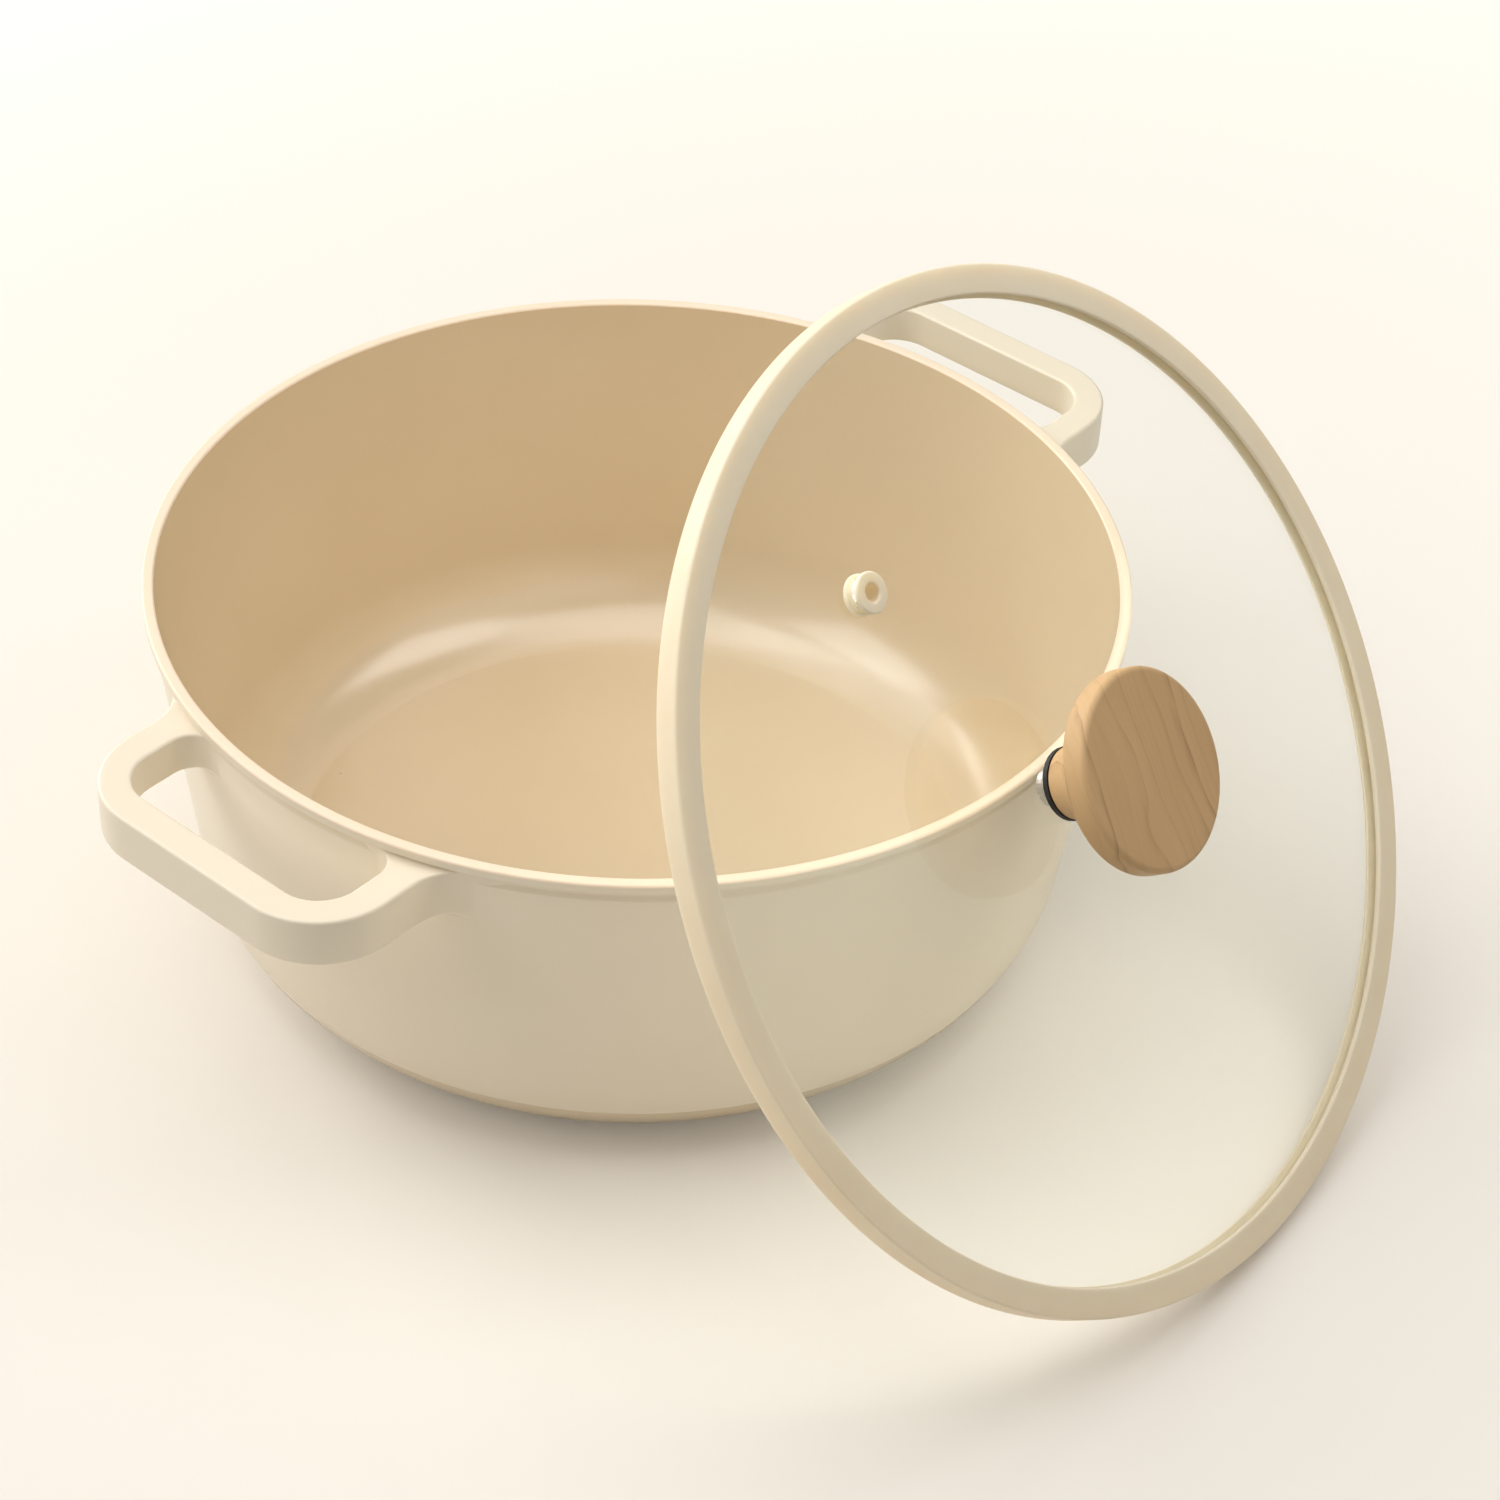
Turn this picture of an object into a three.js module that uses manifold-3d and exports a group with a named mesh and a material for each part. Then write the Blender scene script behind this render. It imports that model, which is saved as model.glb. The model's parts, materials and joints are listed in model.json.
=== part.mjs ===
// Two-handled cast saucepan with a flat glass lid.
//
// The pan is one aluminium casting: a bowl with a large corner radius, a thin
// bead round its rim and a loop handle on each side. A steel plate is let into
// its base for induction hobs. The lid is a tempered glass pane in a silicone
// band, with a silicone vent and a turned wooden knob held by one screw.
//
// Frame: millimetres, +Z up. The origin is the centre of the flat base, on the
// surface the pan stands on. The handles lie along X. The lid stands beside the
// pan on the -Y side, its lower edge on the surface and the head of its knob's
// screw against the pan's rim.

import * as THREE from 'three';
import { mergeVertices } from 'three/addons/utils/BufferGeometryUtils.js';
import Module from 'manifold-3d';

const wasm = await Module();
wasm.setup();

// ---- Driving dimensions, in millimetres and degrees -------------------------

const GAP = 0.3; // clearance between two pieces that touch on the real object

const PAN = {
  height: 102,
  wallRadiusTop: 122, // outer face of the wall, carried up to the rim
  wallRadiusFoot: 110, // outer face of the wall, carried down to the base
  wallThickness: 2.5,
  floorThickness: 5,
  outerCorner: 29,
  innerCorner: 26,
  floorCrease: 10, // slope at which the inside corner meets the flat floor
  rimRadius: 123,
  rimInnerRadius: 120,
  beadHeight: 2.8,
  edgeBreak: 0.5,
};

const PLATE = { radius: 75, thickness: 1.2, edgeBreak: 0.3 };

const HANDLE = {
  topBelowRim: 3.4,
  height: 13,
  reach: 151.8, // pan axis to the outer face of the grip
  barWidth: 8.6,
  halfLength: 43, // pan axis to the outer face of each arm
  armWidth: 8.6,
  outerCorner: 21,
  innerCorner: 11,
  outerFlare: 14, // where the outside of an arm meets the wall
  innerFlare: 7,
  undersideRise: 2.6, // the underside slopes up towards the finger gap
  undersideRun: 7,
  edgeRound: 0.9,
};

const LID = {
  radius: 123.5,
  thickness: 6.3,
  topLipRadius: 116.3,
  underLipRadius: 115.8,
  grooveDepth: 4,
  edgeBreak: 0.6,
  glassThickness: 3.5,
  underLip: 0.9,
};

const LEAN = {
  tilt: 54, // lid plane from horizontal
  turn: 5, // about the vertical, from square to the handles
  sideways: 3.8, // lid centre along X
  outward: 133.2, // lid centre along -Y
  floorClearance: 0.2,
};

const VENT = {
  x: -30,
  y: 67.4,
  flangeRadius: 4.9,
  flangeThickness: 1.2,
  neckRadius: 3.5,
  holeRadius: 2.2,
};

const KNOB = {
  radius: 24,
  height: 25.2,
  discThickness: 6.6,
  neckRadius: 8.6,
  boreRadius: 3.9,
  boreDepth: 13.2,
};

const GASKET = { radius: 8.8, thickness: 1.3, holeRadius: 2.6 };
const INSERT = { radius: 3.6, boreRadius: 2.3, length: 12 };
const SEAL = { radius: 5, thickness: 0.8, sleeveRadius: 3.2, holeRadius: 2.3 };
const WASHER = { radius: 4.8, thickness: 0.5, holeRadius: 2.3 };
const SCREW = { radius: 2, headRadius: 4.6, headThickness: 1.9, reach: 10, slotWidth: 1.1, slotDepth: 0.8 };
const GLASS_HOLE_RADIUS = 3.5;

const ROUND = { pan: 80, lid: 80, knob: 40, small: 28 }; // facets round each circle

// ---- Materials --------------------------------------------------------------

const MATERIALS = {
  enamel: new THREE.MeshStandardMaterial({ color: 0xefe3cc, roughness: 0.4, metalness: 0 }),
  steel: new THREE.MeshStandardMaterial({ color: 0xb9bbbd, roughness: 0.35, metalness: 1 }),
  glass: new THREE.MeshStandardMaterial({ color: 0xe4efe8, roughness: 0.02, metalness: 0 }),
  silicone: new THREE.MeshStandardMaterial({ color: 0xf2e0c4, roughness: 0.55, metalness: 0 }),
  blackRubber: new THREE.MeshStandardMaterial({ color: 0x151412, roughness: 0.6, metalness: 0 }),
  wood: new THREE.MeshStandardMaterial({ color: 0xb99467, roughness: 0.55, metalness: 0 }),
  brass: new THREE.MeshStandardMaterial({ color: 0xc9a04e, roughness: 0.3, metalness: 1 }),
};

// ---- Shape helpers ----------------------------------------------------------

// Points of an arc round (cx, cy), both ends included, angles in degrees.
function arcPoints(cx, cy, radius, from, to, steps) {
  const points = [];
  for (let i = 0; i <= steps; i += 1) {
    const angle = THREE.MathUtils.degToRad(from + ((to - from) * i) / steps);
    points.push([cx + radius * Math.cos(angle), cy + radius * Math.sin(angle)]);
  }
  return points;
}

// A solid of revolution about Z. The profile is a list of [radius, height]
// points, running anticlockwise as seen with the radius to the right.
function turned(profile, facets) {
  const onAxis = profile[0][0] === 0;
  const closed = onAxis ? profile : [...profile, profile[0]];
  const points = closed.map(([radius, height]) => new THREE.Vector2(radius, height));
  const geometry = new THREE.LatheGeometry(points, facets);
  geometry.rotateX(Math.PI / 2);
  return geometry;
}

// A closed geometry as a manifold-3d solid, and a solid back as a geometry.
function solidOf(geometry) {
  const bare = geometry.clone();
  bare.deleteAttribute('normal');
  bare.deleteAttribute('uv');
  const merged = mergeVertices(bare, 1e-4);
  const vertProperties = new Float32Array(merged.attributes.position.array);
  const triVerts = new Uint32Array(merged.index.array);
  return new wasm.Manifold(new wasm.Mesh({ numProp: 3, vertProperties, triVerts }));
}

function geometryOf(solid) {
  const mesh = solid.getMesh();
  const geometry = new THREE.BufferGeometry();
  geometry.setAttribute('position', new THREE.BufferAttribute(mesh.vertProperties, 3));
  geometry.setIndex(new THREE.BufferAttribute(mesh.triVerts, 1));
  geometry.computeVertexNormals();
  return geometry;
}

function named(name, geometry, material) {
  const mesh = new THREE.Mesh(geometry, material);
  mesh.name = name;
  return mesh;
}

// ---- The pan ----------------------------------------------------------------

// Where a fillet starts on the base line and ends on the sloping wall line.
// The wall leans out by the angle lean from the vertical.
const wallLean = Math.atan2(PAN.wallRadiusTop - PAN.wallRadiusFoot, PAN.height);

function cornerArc(footRadius, baseHeight, radius, steps, crease = 0) {
  const tangent = radius * Math.tan((Math.PI / 2 - wallLean) / 2);
  const end = -THREE.MathUtils.radToDeg(wallLean);
  return arcPoints(footRadius - tangent, baseHeight + radius, radius, -90 + crease, end, steps);
}

function wallRadiusAt(height) {
  return PAN.wallRadiusFoot + height * Math.tan(wallLean);
}

const recessRadius = PLATE.radius + GAP;
const recessDepth = PLATE.thickness + GAP;

function bowlOutside() {
  const beadFoot = PAN.height - PAN.beadHeight;
  return [
    [0, recessDepth],
    [recessRadius, recessDepth],
    [recessRadius, 0],
    ...cornerArc(PAN.wallRadiusFoot, 0, PAN.outerCorner, 8),
    [wallRadiusAt(beadFoot - 1), beadFoot - 1],
    [PAN.rimRadius, beadFoot],
    [PAN.rimRadius, PAN.height - PAN.edgeBreak],
    [PAN.rimRadius - PAN.edgeBreak, PAN.height],
  ];
}

// The inside corner starts below the floor, so that it meets it in a crease.
function bowlInside() {
  const below = PAN.innerCorner * (1 - Math.cos(THREE.MathUtils.degToRad(PAN.floorCrease)));
  const base = PAN.floorThickness - below;
  const footRadius = wallRadiusAt(base) - PAN.wallThickness;
  return [
    ...cornerArc(footRadius, base, PAN.innerCorner, 7, PAN.floorCrease),
    [PAN.rimInnerRadius, PAN.height - 2 * PAN.edgeBreak],
    [PAN.rimInnerRadius + PAN.edgeBreak, PAN.height],
  ];
}

// The plan of a handle that reaches out along +X. The outline runs round the
// outside of the grip, crosses inside the wall of the pan, follows the finger
// gap back and closes inside the wall again.
function handlePlan() {
  const wall = wallRadiusAt(PAN.height - HANDLE.topBelowRim - HANDLE.height / 2);
  const hidden = wall - 3; // inside the wall, trimmed away by the cavity
  const gripInside = HANDLE.reach - HANDLE.barWidth;
  const armInside = HANDLE.halfLength - HANDLE.armWidth;

  const flareY = HANDLE.halfLength + HANDLE.outerFlare;
  const flareX = Math.sqrt((wall + HANDLE.outerFlare) ** 2 - flareY ** 2);
  const flareAngle = THREE.MathUtils.radToDeg(Math.atan2(flareY, flareX));
  const innerY = armInside - HANDLE.innerFlare;
  const innerX = Math.sqrt((wall + HANDLE.innerFlare) ** 2 - innerY ** 2);
  const innerAngle = THREE.MathUtils.radToDeg(Math.atan2(innerY, innerX));

  const hiddenPoint = (angle) => arcPoints(0, 0, hidden, angle, angle, 1)[0];
  const outerHalf = [
    hiddenPoint(flareAngle),
    ...arcPoints(flareX, flareY, HANDLE.outerFlare, flareAngle + 180, 270, 5),
    ...arcPoints(
      HANDLE.reach - HANDLE.outerCorner,
      HANDLE.halfLength - HANDLE.outerCorner,
      HANDLE.outerCorner, 90, 0, 7,
    ),
  ];
  const innerHalf = [
    ...arcPoints(
      gripInside - HANDLE.innerCorner,
      armInside - HANDLE.innerCorner,
      HANDLE.innerCorner, 0, 90, 5,
    ),
    ...arcPoints(innerX, innerY, HANDLE.innerFlare, 90, innerAngle + 180, 4),
    hiddenPoint(innerAngle),
  ];
  const mirrored = (points) => points.map(([x, y]) => [x, -y]).reverse();
  return [...outerHalf, ...mirrored(outerHalf), ...mirrored(innerHalf), ...innerHalf];
}

// What the sloping underside leaves out: a flat-topped block with the plan of
// the finger gap, wider below. It cuts the handle only, never the wall.
function undersideCutter() {
  const under = PAN.height - HANDLE.topBelowRim - HANDLE.height;
  const gripInside = HANDLE.reach - HANDLE.barWidth;
  const armInside = HANDLE.halfLength - HANDLE.armWidth;
  const depth = 24; // reaches in through the wall line
  const ring = (grow, z) => {
    const corner = HANDLE.innerCorner + grow;
    const x = gripInside + grow - corner;
    const y = armInside + grow - corner;
    const far = gripInside - depth;
    return [
      ...arcPoints(x, y, corner, 0, 90, 5),
      [far, armInside + grow],
      [far, -armInside - grow],
      ...arcPoints(x, -y, corner, -90, 0, 5),
    ].map(([px, py]) => [px, py, z]);
  };
  const { undersideRise: rise, undersideRun: run } = HANDLE;
  return wasm.Manifold.hull([...ring(0, under + rise), ...ring(2 * run, under - rise)]);
}

// One handle, on the +X side or turned half round to the -X side.
function handleSolid(side) {
  const shape = new THREE.Shape(handlePlan().map(([x, y]) => new THREE.Vector2(x, y)));
  const geometry = new THREE.ExtrudeGeometry(shape, {
    depth: HANDLE.height - 2 * HANDLE.edgeRound,
    bevelThickness: HANDLE.edgeRound,
    bevelSize: HANDLE.edgeRound,
    bevelOffset: -HANDLE.edgeRound,
    bevelSegments: 2,
  });
  geometry.translate(0, 0, PAN.height - HANDLE.topBelowRim - HANDLE.height + HANDLE.edgeRound);
  const handle = solidOf(geometry).subtract(undersideCutter());
  return side < 0 ? handle.rotate([0, 0, 180]) : handle;
}

function panBody() {
  const outside = [...bowlOutside(), [0, PAN.height]];
  const headroom = PAN.height + 5;
  const cavity = [
    [0, PAN.floorThickness],
    ...bowlInside(),
    [PAN.rimInnerRadius + PAN.edgeBreak, headroom],
    [0, headroom],
  ];
  const casting = solidOf(turned(outside, ROUND.pan))
    .add(handleSolid(1))
    .add(handleSolid(-1))
    .subtract(solidOf(turned(cavity, ROUND.pan)));
  return geometryOf(casting);
}

function inductionPlate() {
  const bevel = PLATE.edgeBreak;
  return turned([
    [0, 0],
    [PLATE.radius - bevel, 0],
    [PLATE.radius, bevel],
    [PLATE.radius, PLATE.thickness],
    [0, PLATE.thickness],
  ], ROUND.pan);
}

// ---- The lid, in its own frame: Z out of its top face, Z = 0 on that face ----

const underLipTop = -LID.thickness + LID.underLip;
const glassUnder = underLipTop + GAP;
const glassTop = glassUnder + LID.glassThickness;
const grooveRadius = LID.topLipRadius + LID.grooveDepth;
const glassRadius = grooveRadius - GAP;

function lidBand() {
  const bevel = LID.edgeBreak;
  return turned([
    [LID.topLipRadius, 0],
    [LID.topLipRadius, glassTop + GAP],
    [grooveRadius, glassTop + GAP],
    [grooveRadius, underLipTop],
    [LID.underLipRadius, underLipTop],
    [LID.underLipRadius + bevel / 2, -LID.thickness],
    [LID.radius - bevel, -LID.thickness],
    [LID.radius, -LID.thickness + bevel],
    [LID.radius, -bevel],
    [LID.radius - bevel, 0],
  ], ROUND.lid);
}

function lidGlass() {
  const bevel = 0.5;
  const pane = solidOf(turned([
    [0, glassUnder],
    [glassRadius - bevel, glassUnder],
    [glassRadius, glassUnder + bevel],
    [glassRadius, glassTop - bevel],
    [glassRadius - bevel, glassTop],
    [0, glassTop],
  ], ROUND.lid));
  const drill = (radius, x, y) => {
    const cutter = turned([[0, -20], [radius, -20], [radius, 20], [0, 20]], ROUND.small);
    cutter.translate(x, y, 0);
    return solidOf(cutter);
  };
  const ventHole = drill(VENT.neckRadius + GAP, VENT.x, VENT.y);
  const knobHole = drill(GLASS_HOLE_RADIUS, 0, 0);
  return geometryOf(pane.subtract(knobHole).subtract(ventHole));
}

// A grommet: two flanges joined by a neck that fills the hole in the glass.
function ventGrommet() {
  const upper = glassTop + GAP;
  const lower = glassUnder - GAP;
  const bevel = 0.5;
  const geometry = turned([
    [VENT.holeRadius, lower - VENT.flangeThickness],
    [VENT.flangeRadius - bevel, lower - VENT.flangeThickness],
    [VENT.flangeRadius, lower - VENT.flangeThickness + bevel],
    [VENT.flangeRadius, lower],
    [VENT.neckRadius, lower],
    [VENT.neckRadius, upper],
    [VENT.flangeRadius, upper],
    [VENT.flangeRadius, upper + VENT.flangeThickness - bevel],
    [VENT.flangeRadius - bevel, upper + VENT.flangeThickness],
    [VENT.holeRadius, upper + VENT.flangeThickness],
  ], ROUND.small);
  geometry.translate(VENT.x, VENT.y, 0);
  return geometry;
}

const gasketUnder = glassTop + GAP;
const knobUnder = gasketUnder + GASKET.thickness + GAP;

function knobGasket() {
  return turned([
    [GASKET.holeRadius, gasketUnder],
    [GASKET.radius, gasketUnder],
    [GASKET.radius, gasketUnder + GASKET.thickness],
    [GASKET.holeRadius, gasketUnder + GASKET.thickness],
  ], ROUND.small);
}

// A turned knob: a neck that flares into a disc with a nearly flat face. The
// bore in its foot takes the threaded insert.
function knob() {
  const top = KNOB.height;
  const discUnder = top - KNOB.discThickness;
  const boreTop = knobUnder + KNOB.boreDepth;
  return turned([
    [0, boreTop],
    [KNOB.boreRadius, boreTop],
    [KNOB.boreRadius, knobUnder],
    [KNOB.neckRadius, knobUnder],
    [KNOB.neckRadius + 0.5, knobUnder + 2],
    [KNOB.neckRadius + 1.9, knobUnder + 5.5],
    [KNOB.neckRadius + 3.6, knobUnder + 10],
    [KNOB.neckRadius + 6.5, knobUnder + 14.5],
    [KNOB.neckRadius + 10.5, discUnder - 0.6],
    [KNOB.radius - 1.6, discUnder],
    [KNOB.radius - 0.3, discUnder + 1],
    [KNOB.radius, discUnder + 2.4],
    [KNOB.radius, top - 2.2],
    [KNOB.radius - 0.5, top - 0.9],
    [KNOB.radius - 1.8, top - 0.2],
    [KNOB.radius - 4, top],
    [0, top],
  ], ROUND.knob);
}

function knobInsert() {
  const under = knobUnder + GAP;
  return turned([
    [INSERT.boreRadius, under],
    [INSERT.radius, under],
    [INSERT.radius, under + INSERT.length],
    [INSERT.boreRadius, under + INSERT.length],
  ], ROUND.small);
}

const sealTop = glassUnder - GAP;
const sealUnder = sealTop - SEAL.thickness;
const washerTop = sealUnder - GAP;
const washerUnder = washerTop - WASHER.thickness;

// A soft washer under the glass, with a sleeve that keeps the screw off it.
function glassSeal() {
  return turned([
    [SEAL.holeRadius, sealUnder],
    [SEAL.radius, sealUnder],
    [SEAL.radius, sealTop],
    [SEAL.sleeveRadius, sealTop],
    [SEAL.sleeveRadius, glassTop - GAP],
    [SEAL.holeRadius, glassTop - GAP],
  ], ROUND.small);
}

function flatWasher() {
  return turned([
    [WASHER.holeRadius, washerUnder],
    [WASHER.radius, washerUnder],
    [WASHER.radius, washerTop],
    [WASHER.holeRadius, washerTop],
  ], ROUND.small);
}

function knobScrew() {
  const bevel = 0.3;
  const headTop = washerUnder - GAP;
  const headUnder = headTop - SCREW.headThickness;
  const blank = solidOf(turned([
    [0, headUnder],
    [SCREW.headRadius - bevel, headUnder],
    [SCREW.headRadius, headUnder + bevel],
    [SCREW.headRadius, headTop],
    [SCREW.radius, headTop],
    [SCREW.radius, SCREW.reach],
    [0, SCREW.reach],
  ], ROUND.small));
  const driver = new THREE.BoxGeometry(2 * SCREW.headRadius + 2, SCREW.slotWidth, 2 * SCREW.slotDepth);
  driver.translate(0, 0, headUnder);
  return geometryOf(blank.subtract(solidOf(driver)));
}

// ---- Assembly ---------------------------------------------------------------

const saucepan = new THREE.Group();
saucepan.add(
  named('pan_body', panBody(), MATERIALS.enamel),
  named('induction_plate', inductionPlate(), MATERIALS.steel),
);

const lid = new THREE.Group();
lid.add(
  named('lid_glass', lidGlass(), MATERIALS.glass),
  named('lid_band', lidBand(), MATERIALS.silicone),
  named('vent_grommet', ventGrommet(), MATERIALS.silicone),
  named('knob_gasket', knobGasket(), MATERIALS.blackRubber),
  named('knob', knob(), MATERIALS.wood),
  named('knob_insert', knobInsert(), MATERIALS.brass),
  named('glass_seal', glassSeal(), MATERIALS.silicone),
  named('flat_washer', flatWasher(), MATERIALS.steel),
  named('knob_screw', knobScrew(), MATERIALS.steel),
);

// The lid stands on the lowest point of its band, where its outer face meets
// the broken under edge.
const tilt = THREE.MathUtils.degToRad(LEAN.tilt);
const turn = THREE.MathUtils.degToRad(LEAN.turn);
const outerFaceFoot = LID.thickness - LID.edgeBreak;
const standHeight = LID.radius * Math.sin(tilt) + outerFaceFoot * Math.cos(tilt) + LEAN.floorClearance;
lid.rotation.set(tilt, 0, turn, 'ZYX');
lid.position.set(LEAN.sideways, -LEAN.outward, standHeight);
saucepan.add(lid);

export default saucepan;
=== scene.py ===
# %% [markdown]
# # A cast saucepan with a glass lid
#
# This notebook dresses a finished CAD model. The CAD holds every size, joint
# and clearance; here each piece gets the surface that the real one has. The
# pan is one aluminium casting with two loop handles, sprayed ivory outside and
# tan inside. The lid is a flat glass pane in a silicone band, with a silicone
# vent and a turned wooden knob, and it leans against the pan's rim.
#
# Everything is in metres, +Z up, with the origin at the centre of the pan's
# base. The handles lie along X and the lid leans on the -Y side.

# %% Load the frame
import json
import math

import bpy
import numpy as np
from mathutils import Matrix, Vector


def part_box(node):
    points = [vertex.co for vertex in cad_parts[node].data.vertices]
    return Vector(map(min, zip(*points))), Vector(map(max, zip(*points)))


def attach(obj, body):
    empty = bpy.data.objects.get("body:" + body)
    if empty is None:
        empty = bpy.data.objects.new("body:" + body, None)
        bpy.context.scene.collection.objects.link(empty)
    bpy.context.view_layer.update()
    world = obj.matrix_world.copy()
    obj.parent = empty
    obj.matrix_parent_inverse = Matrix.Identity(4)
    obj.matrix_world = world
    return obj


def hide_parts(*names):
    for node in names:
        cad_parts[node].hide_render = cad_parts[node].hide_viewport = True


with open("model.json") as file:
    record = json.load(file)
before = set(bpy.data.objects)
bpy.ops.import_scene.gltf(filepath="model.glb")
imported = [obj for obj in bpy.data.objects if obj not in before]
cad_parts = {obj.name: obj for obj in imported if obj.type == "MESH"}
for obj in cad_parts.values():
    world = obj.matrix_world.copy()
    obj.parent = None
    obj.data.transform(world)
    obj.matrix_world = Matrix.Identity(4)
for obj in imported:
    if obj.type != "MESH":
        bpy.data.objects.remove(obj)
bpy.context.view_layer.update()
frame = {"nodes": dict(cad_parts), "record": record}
MM = 0.001

# %% [markdown]
# ## Where the lid is
#
# The lid was placed by the CAD, so its place is read back and not typed in
# again. The record's lid_seat mount gives the direction that the lid's under
# face looks along, and the middle of the glass pane's box is the middle of the
# pane. With one level direction beside them they make the lid's own frame:
# X level, Y up the slope, Z out of the top face. Every lid piece is drawn
# upright in that frame and its points are then carried to the lid's place.

# %% The lid's own frame
mounts = {mount["name"]: mount for mount in frame["record"]["mounts"]}
lid_out = -Vector(mounts["lid_seat"]["axis"]).normalized()
lid_level = Vector((-lid_out.y, lid_out.x, 0)).normalized()
lid_slope = lid_out.cross(lid_level)
glass_low, glass_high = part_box("lid_glass")
pane_centre = (glass_low + glass_high) / 2

LID_THICKNESS = 6.3 * MM
GLASS_THICKNESS = 3.5 * MM
UNDER_LIP = 0.9 * MM
GAP = 0.3 * MM

# The lid's frame starts on the band's top face, in the middle.
pane_depth = LID_THICKNESS - UNDER_LIP - GAP - GLASS_THICKNESS / 2
lid_centre = pane_centre + lid_out * pane_depth
lid_axes = np.array([lid_level, lid_slope, lid_out])
lid_turn = Matrix((lid_level, lid_slope, lid_out)).transposed().to_euler()
print("lid centre, mm:", [round(v / MM, 2) for v in lid_centre])


def to_lid(points):
    """Points drawn in the lid's own frame, carried to the lid's place: each
    coordinate times its axis, added up, plus the lid's centre."""
    return points @ lid_axes + np.array(lid_centre)


# %% [markdown]
# ## Camera
#
# The object is looked at from above and to the side, from about a metre away,
# with a portrait lens, so that the round rim shows as a wide ellipse and the
# lines of the two handles stay nearly parallel. The camera is placed by its
# own position and by the direction it looks in, with a small roll.

# %% Camera
CAMERA_PLACE = Vector((-0.5354, -0.4723, 0.6267))
CAMERA_LOOK = Vector((0.6016, 0.4864, -0.6336)).normalized()
CAMERA_ROLL = math.radians(2.8)
CAMERA_LENS = 84.6

camera_data = bpy.data.cameras.new("camera")
camera_data.sensor_width = 36
camera_data.lens = CAMERA_LENS
camera_data.dof.use_dof = False
camera_data.clip_end = 20
camera = bpy.data.objects.new("camera", camera_data)
bpy.context.scene.collection.objects.link(camera)
camera.rotation_mode = "QUATERNION"
camera.location = CAMERA_PLACE
level_turn = CAMERA_LOOK.to_track_quat("-Z", "Y")
camera.rotation_quaternion = level_turn @ Matrix.Rotation(CAMERA_ROLL, 3, "Z").to_quaternion()
bpy.context.scene.camera = camera
print("camera height above the floor, mm:", round(CAMERA_PLACE.z / MM))

# %% [markdown]
# ## Surfaces from numpy
#
# Every new piece is a grid of points worked out at once: a profile turned
# about an axis, or a section carried along a path. One helper joins the grid
# into faces. The grid may close on itself along its rows, along its columns or
# both, and where a row shrinks to one point, as on the axis of a turned piece,
# that row becomes a single vertex and the faces beside it become triangles.

# %% Grid to mesh


def mesh_from_grid(name, grid, close_rows=False, close_columns=True, poles=(False, False)):
    """A mesh from points in rows and columns. Faces join each point to the next
    in its row and in its column; poles say whether the first and the last row
    are single points."""
    rows, columns = grid.shape[:2]
    index = np.arange(rows * columns).reshape(rows, columns)
    if poles[0]:
        index[0] = index[0, 0]
    if poles[1]:
        index[-1] = index[-1, 0]
    down = np.roll(index, -1, axis=0) if close_rows else index[1:]
    here = index if close_rows else index[:-1]
    right = np.roll(here, -1, axis=1) if close_columns else here[:, 1:]
    down_right = np.roll(down, -1, axis=1) if close_columns else down[:, 1:]
    width = columns if close_columns else columns - 1
    quads = np.stack([here[:, :width], right, down_right, down[:, :width]], axis=-1).reshape(-1, 4)

    used, compact = np.unique(quads, return_inverse=True)
    quads = compact.reshape(-1, 4)
    points = grid.reshape(-1, 3)[used]
    faces = [list(dict.fromkeys(face)) for face in quads.tolist()]

    mesh = bpy.data.meshes.new(name)
    mesh.from_pydata(points.tolist(), [], faces)
    mesh.validate()
    mesh.shade_smooth()
    piece = bpy.data.objects.new(name, mesh)
    bpy.context.scene.collection.objects.link(piece)
    print(name, len(points), "points,", len(faces), "faces")
    return piece


NEARLY_STRAIGHT = math.radians(89.5)


def rounded_outline(corners, closed, spacing, arc_steps=6):
    """Points along a line through the corners, no further than the spacing
    apart, with an arc at each corner. A corner is (x, y, radius). The arc starts
    and ends at the distance radius / tan(half the corner's angle) from the
    corner. Its points are its first and last arms from the centre, added in
    shares sin(angle still to go) and sin(angle gone), over the sine of the
    whole angle."""
    places = np.array([corner[:2] for corner in corners], float)
    radii = [corner[2] for corner in corners]
    count = len(places)
    pieces = []
    for i, radius in enumerate(radii):
        here = places[i]
        if not closed and i in (0, count - 1):
            pieces.append(here[None])
            continue
        back = places[i - 1] - here
        ahead = places[(i + 1) % count] - here
        back = back / np.linalg.norm(back)
        ahead = ahead / np.linalg.norm(ahead)
        half = math.acos(np.clip(back @ ahead, -1, 1)) / 2
        if radius == 0 or half > NEARLY_STRAIGHT:
            pieces.append(here[None])
            continue
        reach = radius / math.tan(half)
        centre = here + (back + ahead) / np.linalg.norm(back + ahead) * radius / math.sin(half)
        first = here + back * reach - centre
        last = here + ahead * reach - centre
        span = math.pi - 2 * half
        turn = np.linspace(0, span, arc_steps + 1)[:, None]
        arms = (np.sin(span - turn) * first + np.sin(turn) * last) / math.sin(span)
        pieces.append(centre + arms)
    line = np.concatenate(pieces + ([pieces[0][:1]] if closed else []))
    steps = np.linalg.norm(np.diff(line, axis=0), axis=1)
    cuts = []
    for start, end, step in zip(line[:-1], line[1:], steps):
        parts = max(1, math.ceil(step / spacing))
        cuts.append(start + (end - start) * np.linspace(0, 1, parts, endpoint=False)[:, None])
    return np.concatenate(cuts + ([] if closed else [line[-1:]]))


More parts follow.
